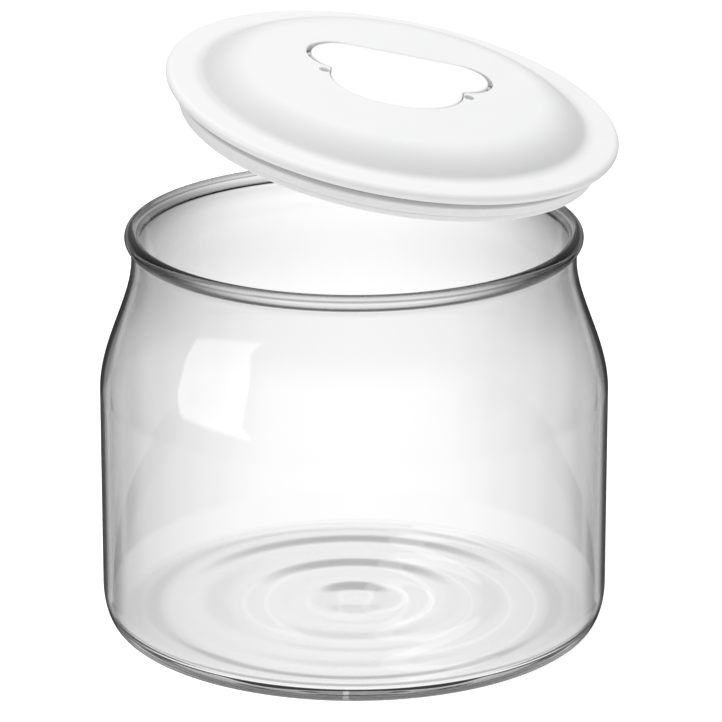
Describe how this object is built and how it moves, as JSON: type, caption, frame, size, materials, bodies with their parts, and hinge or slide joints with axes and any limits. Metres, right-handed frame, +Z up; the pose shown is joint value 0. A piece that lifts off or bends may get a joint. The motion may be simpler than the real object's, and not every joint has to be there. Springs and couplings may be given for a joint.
{
  "type": "yogurt maker jar with lid",
  "caption": "Wide-mouth clear glass jar of a yogurt maker, with a rolled bead rim and a white plug-seal lid hovering above it that has a flush folding handle.",
  "frame": {"origin": "centre of the jar's flat foot, on the table", "axes": "+Z up along the jar's axis; -Y is the front, the way the handle's flap points; +X is to the right of a person facing the front"},
  "size_m": [0.1333, 0.132, 0.1548],
  "materials": {
    "clear_glass": "clear, fire-polished",
    "white_plastic": "satin, moulded",
    "handle_plastic": "satin, moulded",
    "silicone": "translucent white silicone",
    "pin_steel": "bright drawn"
  },
  "bodies": {
    "jar": {"glass_jar": "clear_glass"},
    "lid": {"lid_cover": "white_plastic", "lid_inner_plate": "white_plastic", "seal_ring": "silicone", "hinge_pin_left": "pin_steel", "hinge_pin_right": "pin_steel"},
    "handle": {"fold_handle": "handle_plastic"}
  },
  "joints": [
    {"name": "lid_swing", "type": "hinge", "parent": "jar", "child": "lid", "pos_m": [0.13973, -0.08296, 0.0685], "axis": [0.5105, 0.8599, 0], "range_deg": [-11.85, 12]},
    {"name": "handle_fold", "type": "hinge", "parent": "lid", "child": "handle", "pos_m": [0.01143, 0.0048, 0.14544], "axis": [-0.9818, 0.0514, 0.1826], "range_deg": [0, 90]}
  ]
}
